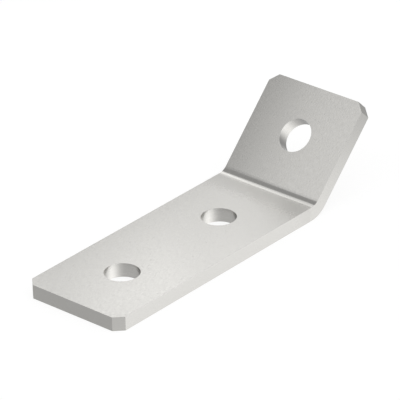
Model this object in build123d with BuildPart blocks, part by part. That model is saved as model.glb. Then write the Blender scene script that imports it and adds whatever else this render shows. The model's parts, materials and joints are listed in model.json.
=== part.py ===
# Angle bracket: one piece of flat steel bar with cropped corners, three holes and one bend.
# Millimetres. The base lies on the ground with +X running along it towards the bend,
# +Y across the bar and +Z up. The origin is on the underside, midway between the base's two holes.
import os
from math import cos, radians, sin

from build123d import *

# the bar
bar_width = 40.0
bar_thickness = 5.0

# the legs, each from its free end to the heel line, where the two outer faces would meet
base_length = 100.0
arm_length = 40.0

# the bend
bend_angle = 45.0  # how far the arm leaves the plane of the base
inside_radius = 5.0

# the holes, all on the bar's centre line
hole_diameter = 12.0
base_hole_spacing = 48.0
base_hole_to_end = 24.0  # centre of the outer base hole to the base's free end
arm_hole_to_end = 18.0  # centre of the arm's hole to the arm's free end

# the corners
corner_crop = 3.0  # each free corner is cropped at 45 degrees, by this much along both edges

# places that follow from the sizes
base_end_x = -base_hole_spacing / 2 - base_hole_to_end
heel_x = base_end_x + base_length
arm_end_x = heel_x + arm_length * cos(radians(bend_angle))
arm_end_z = arm_length * sin(radians(bend_angle))
outside_radius = inside_radius + bar_thickness

# the two faces that the holes open on, and the arm's two main directions
base_top = Plane.XY.offset(bar_thickness)
arm_back = Plane(origin=(heel_x, 0, 0)).rotated((0, -bend_angle, 0))
arm_front = arm_back.offset(bar_thickness)
along_arm = Axis(arm_back.origin, arm_back.x_dir)
through_arm = Axis(arm_back.origin, arm_back.z_dir)

with BuildPart() as angle_bracket:
    # the bar's side profile: its outer face with the bend in it, thickened towards the inside
    with BuildSketch(Plane.XZ) as side_profile:
        with BuildLine() as outer_face:
            FilletPolyline(
                (base_end_x, 0),
                (heel_x, 0),
                (arm_end_x, arm_end_z),
                radius=outside_radius,
            )
            offset(amount=bar_thickness, side=Side.LEFT)
        make_face()
    extrude(amount=bar_width / 2, both=True)

    # the four free corners, cropped straight through the bar
    base_end = angle_bracket.faces().sort_by(Axis.X).first
    arm_end = angle_bracket.faces().sort_by(along_arm).last
    base_corners = base_end.edges().filter_by(Axis.Z)
    arm_corners = arm_end.edges().filter_by(through_arm)
    chamfer(base_corners + arm_corners, length=corner_crop)

    # two holes through the base
    with Locations(base_top):
        with GridLocations(base_hole_spacing, 0, 2, 1):
            Hole(hole_diameter / 2, depth=bar_thickness)

    # one hole through the arm, square to its faces
    with Locations(arm_front):
        with Locations((arm_length - arm_hole_to_end, 0)):
            Hole(hole_diameter / 2, depth=bar_thickness)

angle_bracket.part.label = "angle_bracket"

os.makedirs("parts", exist_ok=True)
export_step(angle_bracket.part, "parts/angle_bracket.step")
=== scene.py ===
# Looks for the angle bracket: one bent flat steel bar, on a plain white ground in soft studio light.
import json
import math

import bpy
from mathutils import Matrix, Quaternion, Vector

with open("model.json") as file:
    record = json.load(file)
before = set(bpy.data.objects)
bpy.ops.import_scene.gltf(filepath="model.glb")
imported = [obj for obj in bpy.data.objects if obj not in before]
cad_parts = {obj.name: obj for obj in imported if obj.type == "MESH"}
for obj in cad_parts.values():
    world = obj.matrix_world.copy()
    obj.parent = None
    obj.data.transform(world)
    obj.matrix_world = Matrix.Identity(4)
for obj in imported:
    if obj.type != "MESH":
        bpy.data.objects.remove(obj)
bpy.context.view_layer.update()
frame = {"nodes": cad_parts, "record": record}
print("frame loaded")

perMetre = 1000.0  # millimetres in a metre


def newNode(tree, kind, place, **settings):
    node = tree.nodes.new(kind)
    node.location = place
    for name, value in settings.items():
        setattr(node, name, value)
    return node


def feed(tree, socket, value):  # a link, or a plain number or vector set on the socket
    if isinstance(value, bpy.types.NodeSocket):
        tree.links.new(value, socket)
    else:
        socket.default_value = value


def maths(tree, operation, place, first, second=0.0, third=0.0):
    node = newNode(tree, "ShaderNodeMath", place, operation=operation)
    for socket, value in zip(node.inputs, (first, second, third)):
        feed(tree, socket, value)
    return node.outputs[0]


def vectorMaths(tree, operation, place, first, second=(0.0, 0.0, 0.0)):
    node = newNode(tree, "ShaderNodeVectorMath", place, operation=operation)
    feed(tree, node.inputs[0], first)
    feed(tree, node.inputs[1], second)
    return node.outputs["Value"] if operation in ("DOT_PRODUCT", "LENGTH") else node.outputs["Vector"]


def ramp(tree, place, value, low, high, toLow, toHigh):
    node = newNode(tree, "ShaderNodeMapRange", place, interpolation_type="SMOOTHSTEP")
    feed(tree, node.inputs["Value"], value)
    feed(tree, node.inputs["From Min"], low)
    feed(tree, node.inputs["From Max"], high)
    feed(tree, node.inputs["To Min"], toLow)
    feed(tree, node.inputs["To Max"], toHigh)
    return node.outputs["Result"]


def mix(tree, place, share, first, second):
    node = newNode(tree, "ShaderNodeMix", place, data_type="FLOAT")
    feed(tree, node.inputs[0], share)
    feed(tree, node.inputs[2], first)
    feed(tree, node.inputs[3], second)
    return node.outputs[0]


def mixVector(tree, place, share, first, second):
    node = newNode(tree, "ShaderNodeMix", place, data_type="VECTOR")
    feed(tree, node.inputs[0], share)
    feed(tree, node.inputs[4], first)
    feed(tree, node.inputs[5], second)
    return node.outputs[1]


def noise(tree, place, vector, pattern):
    mapping = newNode(tree, "ShaderNodeMapping", (place[0] - 200, place[1]))
    feed(tree, mapping.inputs["Vector"], vector)
    mapping.inputs["Scale"].default_value = pattern["waves"]
    node = newNode(tree, "ShaderNodeTexNoise", place)
    feed(tree, node.inputs["Vector"], mapping.outputs["Vector"])
    node.inputs["Scale"].default_value = 1.0
    node.inputs["Detail"].default_value = pattern["detail"]
    node.inputs["Roughness"].default_value = pattern["roughness"]
    return node.outputs[0]


def centre(tree, place, pattern):  # noise lies round 0.5, and is moved to lie round 0
    return maths(tree, "SUBTRACT", place, pattern, 0.5)


# The bar's own measures, all read from the frame
def readBar():
    mounts = {mount["name"]: mount for mount in frame["record"]["mounts"]}
    armBack = Vector(mounts["arm_back"]["pos_m"])
    armDown = Vector(mounts["arm_back"]["axis"])
    heelX = armBack.x + armBack.z * armDown.z / armDown.x  # where the arm's back meets the ground
    heel = Vector((heelX, 0.0, 0.0))
    bendAngle = math.atan2(armDown.x, -armDown.z)
    alongArm = Vector((math.cos(bendAngle), 0.0, math.sin(bendAngle)))
    holes = []  # in millimetres, from the heel line along the base or the arm
    for name in ("base_end_hole", "base_bend_hole", "arm_hole"):
        away = Vector(mounts[name]["pos_m"]) - heel
        along = away.dot(alongArm) if name == "arm_hole" else away.x
        holes.append({"along": along * perMetre, "radius": mounts[name]["dims"]["r_mm"]})
    return {"heel": heel, "bendAngle": bendAngle, "alongArm": alongArm, "holes": holes}


bar = readBar()


# Steel: satin rolled faces, mill edges, plainer cut ends and streaked hole walls, with painted highlights
# and painted shade in the tones of the edges, ends, crops and hole walls
steel = {
    "colour": (0.69, 0.68, 0.655),
    "edgeHighlightTone": 1.05,  # the bar's long edges beside its wide faces, lightened as a painted highlight
    "cutToneAndPaintedLight": 0.59,  # sheared ends beside them, partly their own duller steel, partly painted shade
    "cropToneAndPaintedLight": 0.77,  # the base's cropped corners beside them, partly their own duller steel, partly painted shade
    "armCropHighlightTone": 1.03,  # the arm's, lightened as a painted highlight
    "wallTone": 0.58,  # a punched hole's wall all round: its duller torn steel, partly painted shade
    "paintedHighlightTone": 0.79,  # what the painted highlight on one side adds to it
    "paintedHighlightTurn": 77.0,  # where that painted highlight stands, in degrees round the base's holes, from the bar's length towards +Y
    "paintedHighlightSpread": 11.0,  # the higher, the narrower
    "armPaintedHighlightTurn": 76.5,  # round the arm's
    "armPaintedHighlightSpread": 6.5,
    "paintedShadeTone": -0.16,  # what the painted shade adds to it, in the base's holes
    "paintedShadeTurn": -32.0,
    "armPaintedShadeTone": -0.33,  # in the arm's
    "armPaintedShadeTurn": 0.0,
    "paintedShadeSpread": 16.0,
    "rolledRoughness": 0.22,
    "bendRoughness": 0.17,  # the press rubs the bend smoother
    "bendReach": (3.5, 5.5),  # millimetres from the heel line, over which that fades out
    "armBendShift": 1.4,  # how many sooner on the arm
    "creaseRoughness": 0.38,  # the base's skin beside the bend is dulled
    "creaseReach": (5.5, 16.0),  # millimetres from the heel line, over which that fades out
    "cutRoughness": 0.5,
    "wallRoughness": 0.22,
    # patterns, with about this many waves to a millimetre along the bar, across it and up through it
    "grain": {"waves": (0.6, 4.0, 4.0), "detail": 3.0, "roughness": 0.5},  # on the rolled faces
    "cloud": {"waves": (0.05, 0.08, 0.08), "detail": 2.0, "roughness": 0.5},
    "drawn": {"waves": (1.6, 1.6, 0.12), "detail": 3.0, "roughness": 0.6},  # on the cut ends
    "turned": {"waves": (0.12, 0.12, 2.2), "detail": 3.0, "roughness": 0.6},  # in the holes
    "grainTone": 0.015,  # how far each moves the tone either way
    "cloudTone": 0.01,
    "streakTone": 0.1,  # drawn and turned
    "grainRoughness": 0.34,  # from the smoothest to the roughest, in the streaks too
    "grainBump": 0.02,
    "grainDepth": 0.0001,
    # how the faces are told apart
    "edgeFacing": 0.5,  # an edge faces up or down by less than this
    "endFacing": 0.5,  # an end or a crop faces along the bar by more than this
    "squareFacing": 0.85,  # an end by more than this
    "wallReach": 0.5,  # millimetres from a hole's rim to what still counts as its wall
}


def barPlace(tree):
    # millimetres along the bar, across it and up through it, on the base and on the arm alike,
    # the way that the surface faces in the same directions, and whether it is on the arm
    source = newNode(tree, "ShaderNodeTexCoord", (-2200, 0))
    turn = bar["bendAngle"]
    fromHeel = vectorMaths(tree, "SUBTRACT", (-2000, 0), source.outputs["Object"], bar["heel"])
    inMillimetres = vectorMaths(tree, "MULTIPLY", (-1800, 0), fromHeel, (perMetre, perMetre, perMetre))
    halfway = (math.cos(turn / 2), 0.0, math.sin(turn / 2))  # square to the plane that halves the bend
    pastBend = vectorMaths(tree, "DOT_PRODUCT", (-1600, 300), inMillimetres, halfway)
    onArm = maths(tree, "GREATER_THAN", (-1400, 300), pastBend, 0.0)
    turned = []
    for row, vector in enumerate((inMillimetres, source.outputs["Normal"])):
        rotate = newNode(tree, "ShaderNodeVectorRotate", (-1600, -200 * row), rotation_type="Y_AXIS")
        feed(tree, rotate.inputs["Vector"], vector)
        rotate.inputs["Angle"].default_value = turn
        turned.append(mixVector(tree, (-1400, -200 * row), onArm, vector, rotate.outputs["Vector"]))
    where, facing = turned
    return where, facing, onArm


def nearHole(tree, where):
    # 1 on the walls of the holes and a little way round them
    flat = vectorMaths(tree, "MULTIPLY", (-1200, -700), where, (1.0, 1.0, 0.0))
    nearest = None
    for row, hole in enumerate(bar["holes"]):
        down = -700 - 200 * row
        away = vectorMaths(tree, "SUBTRACT", (-1000, down), flat, (hole["along"], 0.0, 0.0))
        distance = vectorMaths(tree, "LENGTH", (-800, down), away)
        outside = maths(tree, "SUBTRACT", (-600, down), distance, hole["radius"])
        if nearest is None:
            nearest = outside
        else:
            nearest = maths(tree, "MINIMUM", (-400, down), nearest, outside)
    return maths(tree, "LESS_THAN", (-200, -700), nearest, steel["wallReach"])


def steelMasks(tree, where, facing):
    # the bar's edge all round, its hole walls, its cut ends and crops, and what faces squarely along it
    parts = newNode(tree, "ShaderNodeSeparateXYZ", (-1200, -200))
    feed(tree, parts.inputs[0], facing)
    alongFacing = maths(tree, "ABSOLUTE", (-1000, -200), parts.outputs["X"])
    upFacing = maths(tree, "ABSOLUTE", (-1000, -400), parts.outputs["Z"])
    edge = maths(tree, "LESS_THAN", (-800, -400), upFacing, steel["edgeFacing"])
    endwards = maths(tree, "GREATER_THAN", (-800, -200), alongFacing, steel["endFacing"])
    square = maths(tree, "GREATER_THAN", (-800, 0), alongFacing, steel["squareFacing"])
    wall = maths(tree, "MULTIPLY", (0, -500), edge, nearHole(tree, where))
    notWall = maths(tree, "SUBTRACT", (200, -500), 1.0, wall)
    edgeEnd = maths(tree, "MULTIPLY", (200, -300), edge, endwards)
    cut = maths(tree, "MULTIPLY", (400, -300), edgeEnd, notWall)
    return edge, wall, cut, square


def wallSpot(tree, row, facing, degrees, spread):
    # 1 where a hole's wall stands this far round from the bar's length, fading to 0 on both sides
    turn = math.radians(degrees)
    towards = (-math.cos(turn), -math.sin(turn), 0.0)
    near = vectorMaths(tree, "DOT_PRODUCT", (200, row), facing, towards)
    ahead = maths(tree, "MAXIMUM", (400, row), near, 0.0)
    return maths(tree, "POWER", (600, row), ahead, spread)


def wallToneAndPaintedLight(tree, facing, onArm):
    # a punched hole's wall: duller torn steel all round, partly painted shade, with a painted highlight
    # on one side and more painted shade at another
    # painted highlight: a bright stripe at a fixed turn round each hole's wall, in place of a reflection
    basePaintedHighlight = wallSpot(tree, 1700, facing, steel["paintedHighlightTurn"], steel["paintedHighlightSpread"])
    armPaintedHighlight = wallSpot(tree, 1900, facing, steel["armPaintedHighlightTurn"], steel["armPaintedHighlightSpread"])
    paintedHighlight = mix(tree, (800, 1800), onArm, basePaintedHighlight, armPaintedHighlight)
    # painted shade: a darker patch at a fixed turn round each hole's wall
    basePaintedShade = wallSpot(tree, 1500, facing, steel["paintedShadeTurn"], steel["paintedShadeSpread"])
    armPaintedShade = wallSpot(tree, 1300, facing, steel["armPaintedShadeTurn"], steel["paintedShadeSpread"])
    paintedShade = mix(tree, (800, 1500), onArm, basePaintedShade, armPaintedShade)
    paintedShadeTone = mix(tree, (800, 1300), onArm, steel["paintedShadeTone"], steel["armPaintedShadeTone"])
    withPaintedHighlight = maths(tree, "MULTIPLY_ADD", (1000, 1800), paintedHighlight, steel["paintedHighlightTone"], steel["wallTone"])
    return maths(tree, "MULTIPLY_ADD", (1000, 1500), paintedShade, paintedShadeTone, withPaintedHighlight)


def faceToneAndPaintedLight(tree, facing, onArm, edge, wall, cut, square):
    # how light each kind of face is beside the rolled ones: partly the steel's own tone, partly painted
    # highlight and painted shade
    # crops: darker on the base as painted shade, lighter on the arm as a painted highlight
    cropToneAndPaintedLight = mix(tree, (200, 400), onArm, steel["cropToneAndPaintedLight"], steel["armCropHighlightTone"])
    # sheared ends: darker, partly their own duller steel, partly painted shade
    cutToneAndPaintedLight = mix(tree, (400, 400), square, cropToneAndPaintedLight, steel["cutToneAndPaintedLight"])
    # the long edges are lightened as a painted highlight
    edgeHighlightTone = mix(tree, (400, 200), edge, 1.0, steel["edgeHighlightTone"])
    withCuts = mix(tree, (600, 500), cut, edgeHighlightTone, cutToneAndPaintedLight)
    return mix(tree, (800, 500), wall, withCuts, wallToneAndPaintedLight(tree, facing, onArm))


def faceRoughness(tree, where, onArm, wall, cut):
    # the rubbed bend, the base's dulled skin beside it, the rolled faces, the cut ends and the hole walls
    parts = newNode(tree, "ShaderNodeSeparateXYZ", (-200, 200))
    feed(tree, parts.inputs[0], where)
    fromHeel = maths(tree, "ABSOLUTE", (0, 200), parts.outputs["X"])
    dulled = ramp(
        tree, (200, 200), fromHeel, *steel["creaseReach"],
        steel["creaseRoughness"], steel["rolledRoughness"],
    )
    besideBend = mix(tree, (400, 200), onArm, dulled, steel["rolledRoughness"])
    shifted = maths(tree, "MULTIPLY_ADD", (200, 0), onArm, steel["armBendShift"], fromHeel)
    rolled = ramp(tree, (400, 0), shifted, *steel["bendReach"], steel["bendRoughness"], besideBend)
    withCuts = mix(tree, (600, 200), cut, rolled, steel["cutRoughness"])
    return mix(tree, (800, 200), wall, withCuts, steel["wallRoughness"])


def makeSteel():
    material = bpy.data.materials.new("satinSteel")
    material.use_nodes = True
    tree = material.node_tree
    tree.nodes.clear()
    shader = newNode(tree, "ShaderNodeBsdfPrincipled", (1600, 0))
    output = newNode(tree, "ShaderNodeOutputMaterial", (1900, 0))
    tree.links.new(shader.outputs[0], output.inputs["Surface"])
    shader.inputs["Metallic"].default_value = 1.0
    where, facing, onArm = barPlace(tree)
    edge, wall, cut, square = steelMasks(tree, where, facing)

    # fine grain on the rolled faces, and streaks where the bar is sheared or punched
    grain = noise(tree, (-800, 700), where, steel["grain"])
    drawn = noise(tree, (-800, 1100), where, steel["drawn"])
    turned = noise(tree, (-800, 1300), where, steel["turned"])
    streak = mix(tree, (-400, 1200), wall, drawn, turned)
    worked = maths(tree, "MAXIMUM", (400, 600), wall, cut)
    pattern = mix(tree, (600, 900), worked, grain, streak)
    fine = centre(tree, (800, 900), pattern)

    # tone: each kind of face has its own, partly painted highlight and painted shade, and the patterns
    # and faint clouds change it a little
    amount = mix(tree, (600, 700), worked, steel["grainTone"], steel["streakTone"])
    fineTone = maths(tree, "MULTIPLY", (1000, 900), fine, amount)
    cloud = centre(tree, (800, 1100), noise(tree, (-800, 900), where, steel["cloud"]))
    cloudTone = maths(tree, "MULTIPLY", (1000, 1100), cloud, steel["cloudTone"])
    changes = maths(tree, "ADD", (1200, 900), fineTone, cloudTone)
    share = maths(tree, "MULTIPLY_ADD", (1200, 700), changes, 2.0, 1.0)  # noise moves by 0.5 either way
    kind = faceToneAndPaintedLight(tree, facing, onArm, edge, wall, cut, square)
    tone = maths(tree, "MULTIPLY", (1200, 500), share, kind)
    colour = newNode(tree, "ShaderNodeVectorMath", (1400, 500), operation="SCALE")
    colour.inputs[0].default_value = steel["colour"]
    tree.links.new(tone, colour.inputs["Scale"])
    tree.links.new(colour.outputs[0], shader.inputs["Base Color"])

    even = faceRoughness(tree, where, onArm, wall, cut)
    rough = maths(tree, "MULTIPLY_ADD", (1000, 200), fine, steel["grainRoughness"], even)
    tree.links.new(rough, shader.inputs["Roughness"])

    bump = newNode(tree, "ShaderNodeBump", (1300, -300))
    bump.inputs["Strength"].default_value = steel["grainBump"]
    bump.inputs["Distance"].default_value = steel["grainDepth"]
    tree.links.new(pattern, bump.inputs["Height"])
    tree.links.new(bump.outputs[0], shader.inputs["Normal"])
    return material


bracket = frame["nodes"]["angle_bracket"]
satinSteel = makeSteel()
for slot in bracket.material_slots:
    slot.material = satinSteel
print("steel done")


# Ground: white, with the bracket's own soft shadow on it, swept up a little far off all round
ground = {
    "level": 2.0,  # metres out to where the sweep starts
    "reach": 4.0,
    "rise": 0.4,
    "sides": 64,
    "rings": 8,
    "drop": 0.00005,  # a hair under the bracket, so that the two faces don't mix
    "white": (1.0, 1.0, 1.0),
    "glow": 0.825,
    "matt": (0.28, 0.28, 0.28),  # lit by the room and the softboxes, it adds to the glow to make white
    "bounce": (0.8, 0.8, 0.8),  # what it throws back on the rest of the room
    "pool": (0.045, 0.19),  # a painted pool of light, seen only in the steel: the white that it mirrors fades between these distances
    "fade": 0.52,  # and loses this much
}


def groundGlow(tree, glossy):
    # an even white, but for what the steel mirrors of it, which fades away from the bracket as a painted
    # pool of light
    source = newNode(tree, "ShaderNodeTexCoord", (-1200, -300))
    distance = vectorMaths(tree, "LENGTH", (-1000, -300), source.outputs["Object"])
    fade = ramp(tree, (-800, -300), distance, *ground["pool"], 0.0, ground["fade"])
    mirrored = maths(tree, "MULTIPLY", (-800, -100), fade, glossy)
    strength = maths(tree, "SUBTRACT", (-600, -200), ground["glow"], mirrored)
    white = newNode(tree, "ShaderNodeEmission", (-400, -200))
    white.inputs["Color"].default_value = (*ground["white"], 1.0)
    tree.links.new(strength, white.inputs["Strength"])
    return white.outputs[0]


def makeGroundPaint():
    material = bpy.data.materials.new("whiteGround")
    material.use_nodes = True
    tree = material.node_tree
    tree.nodes.clear()
    path = newNode(tree, "ShaderNodeLightPath", (-800, 200))
    glossy = path.outputs["Is Glossy Ray"]
    seen = maths(tree, "MAXIMUM", (-600, 200), path.outputs["Is Camera Ray"], glossy)
    seen = maths(tree, "MAXIMUM", (-400, 200), seen, path.outputs["Is Transmission Ray"])
    shaded = newNode(tree, "ShaderNodeBsdfDiffuse", (-400, 0))
    shaded.inputs["Color"].default_value = (*ground["matt"], 1.0)
    both = newNode(tree, "ShaderNodeAddShader", (-200, -100))
    tree.links.new(shaded.outputs[0], both.inputs[0])
    tree.links.new(groundGlow(tree, glossy), both.inputs[1])
    plain = newNode(tree, "ShaderNodeBsdfDiffuse", (-200, 100))
    plain.inputs["Color"].default_value = (*ground["bounce"], 1.0)
    choice = newNode(tree, "ShaderNodeMixShader", (0, 0))
    tree.links.new(seen, choice.inputs[0])
    tree.links.new(plain.outputs[0], choice.inputs[1])
    tree.links.new(both.outputs[0], choice.inputs[2])
    # seen from below it is clear, so that the bracket's underside shows
    under = newNode(tree, "ShaderNodeNewGeometry", (0, 300))
    clear = newNode(tree, "ShaderNodeBsdfTransparent", (0, -200))
    oneSided = newNode(tree, "ShaderNodeMixShader", (200, 0))
    tree.links.new(under.outputs["Backfacing"], oneSided.inputs[0])
    tree.links.new(choice.outputs[0], oneSided.inputs[1])
    tree.links.new(clear.outputs[0], oneSided.inputs[2])
    output = newNode(tree, "ShaderNodeOutputMaterial", (400, 0))
    tree.links.new(oneSided.outputs[0], output.inputs["Surface"])
    return material


def makeGround():
    sides, rings = ground["sides"], ground["rings"]
    points = []
    for ring in range(rings + 1):
        out = ring / rings
        radius = ground["level"] + (ground["reach"] - ground["level"]) * out
        height = ground["rise"] * out * out - ground["drop"]
        for side in range(sides):
            turn = math.tau * side / sides
            points.append((radius * math.cos(turn), radius * math.sin(turn), height))
    faces = [tuple(range(sides))]
    for ring in range(rings):
        for side in range(sides):
            near = ring * sides + side
            after = ring * sides + (side + 1) % sides
            faces.append((near, near + sides, after + sides, after))
    mesh = bpy.data.meshes.new("ground")
    mesh.from_pydata(points, [], faces)
    mesh.shade_smooth()
    mesh.materials.append(makeGroundPaint())
    floor = bpy.data.objects.new("ground", mesh)
    bpy.context.scene.collection.objects.link(floor)


makeGround()
print("ground done")


# Light: a grey room with softboxes, none of which the camera sees
room = {"colour": (1.0, 1.0, 1.0), "strength": 0.35}
wattsPerGlow = 4.0  # for each square metre of softbox
stands = {
    # each faces a spot on the bracket from a direction in degrees, turned from +X towards +Y and up,
    # with the first side of its softboxes along the direction given
    "beyond": {"spot": (0.0, 0.0, 0.005), "turn": 41.3, "rise": 27.9, "along": (1.0, 0.0, 0.0)},
    "left": {"spot": (0.067, 0.0, 0.019), "turn": 128.8, "rise": 41.6, "along": bar["alongArm"]},
    "front": {"spot": (0.012, 0.0, 0.010), "turn": -110.0, "rise": 52.0, "along": (0.94, -0.34, 0.0)},
}
softboxes = {
    # distance from the spot, glow, where 1 is paper white, and reach along the first side and across it;
    # those on one stand that overlap are a millimetre or more apart
    "strip": {
        "stand": "beyond", "distance": 0.25, "glow": 0.444,
        "side": (-0.06, 0.1), "across": (-0.11, 0.02),
    },
    "edge": {
        "stand": "beyond", "distance": 0.249, "glow": 0.188,
        "side": (-0.06, 0.1), "across": (0.006, 0.022),
    },
    "corner": {
        "stand": "beyond", "distance": 0.25, "glow": 0.805,
        "side": (-0.1, -0.06), "across": (-0.012, 0.034),
    },
    "accent": {
        "stand": "beyond", "distance": 0.248, "glow": 0.41,
        "side": (-0.06, -0.005), "across": (-0.028, -0.004),
    },
    "accentFar": {
        "stand": "beyond", "distance": 0.248, "glow": 0.09,
        "side": (-0.005, 0.022), "across": (-0.028, -0.008),
    },
    "glint": {
        "stand": "beyond", "distance": 0.247, "glow": 0.169,
        "side": (-0.016, 0.03), "across": (-0.044, -0.014),
    },
    "left": {
        "stand": "left", "distance": 0.25, "glow": 0.447,
        "side": (-0.09, 0.05), "across": (-0.238, 0.006),
    },
    "front": {
        "stand": "front", "distance": 1.5, "glow": 0.42,
        "side": (-1.5, 1.5), "across": (-1.4, 1.4),
    },
}


def makeRoom():
    world = bpy.data.worlds.new("room")
    bpy.context.scene.world = world
    world.use_nodes = True
    back = world.node_tree.nodes["Background"]
    back.inputs["Color"].default_value = (*room["colour"], 1.0)
    back.inputs["Strength"].default_value = room["strength"]


def makeSoftbox(name, box):
    stand = stands[box["stand"]]
    turn = math.radians(stand["turn"])
    rise = math.radians(stand["rise"])
    away = Vector((math.cos(turn) * math.cos(rise), math.sin(turn) * math.cos(rise), math.sin(rise)))
    along = Vector(stand["along"])
    side = (along - away * along.dot(away)).normalized()
    upright = away.cross(side)
    near, far = box["side"]
    low, high = box["across"]
    light = bpy.data.lights.new(name, "AREA")
    light.shape = "RECTANGLE"
    light.size = far - near
    light.size_y = high - low
    light.energy = box["glow"] * wattsPerGlow * light.size * light.size_y
    lamp = bpy.data.objects.new(name, light)
    lamp.rotation_euler = Matrix((side, upright, away)).transposed().to_euler()
    middle = Vector(stand["spot"]) + away * box["distance"]
    lamp.location = middle + side * (near + far) / 2 + upright * (low + high) / 2
    lamp.visible_camera = False
    bpy.context.scene.collection.objects.link(lamp)


makeRoom()
for name, box in softboxes.items():
    makeSoftbox(name, box)
print("light done")


# Camera: where the photograph was taken from
camera = {
    "azimuth": -48.69,  # degrees round from looking along +Y
    "elevation": 27.94,
    "roll": -1.48,
    "distance": 1.2733,
    "aim": (0.01484, 0.0, 0.01508),
    "lens": 350.4,  # millimetres
    "sensor": 36.0,  # millimetres wide
    "farthest": 50.0,  # metres, well past the ground's rim
}


def makeCamera():
    azimuth = math.radians(camera["azimuth"])
    elevation = math.radians(camera["elevation"])
    back = Vector((
        math.sin(azimuth) * math.cos(elevation),
        -math.cos(azimuth) * math.cos(elevation),
        math.sin(elevation),
    ))
    data = bpy.data.cameras.new("camera")
    data.sensor_width = camera["sensor"]
    data.lens = camera["lens"]
    data.clip_end = camera["farthest"]
    view = bpy.data.objects.new("camera", data)
    level = back.to_track_quat("Z", "Y")
    view.rotation_euler = (level @ Quaternion((0.0, 0.0, 1.0), math.radians(camera["roll"]))).to_euler()
    view.location = Vector(camera["aim"]) + back * camera["distance"]
    bpy.context.scene.collection.objects.link(view)
    bpy.context.scene.camera = view


makeCamera()
bpy.context.scene.view_settings.view_transform = "Standard"
print("camera done")
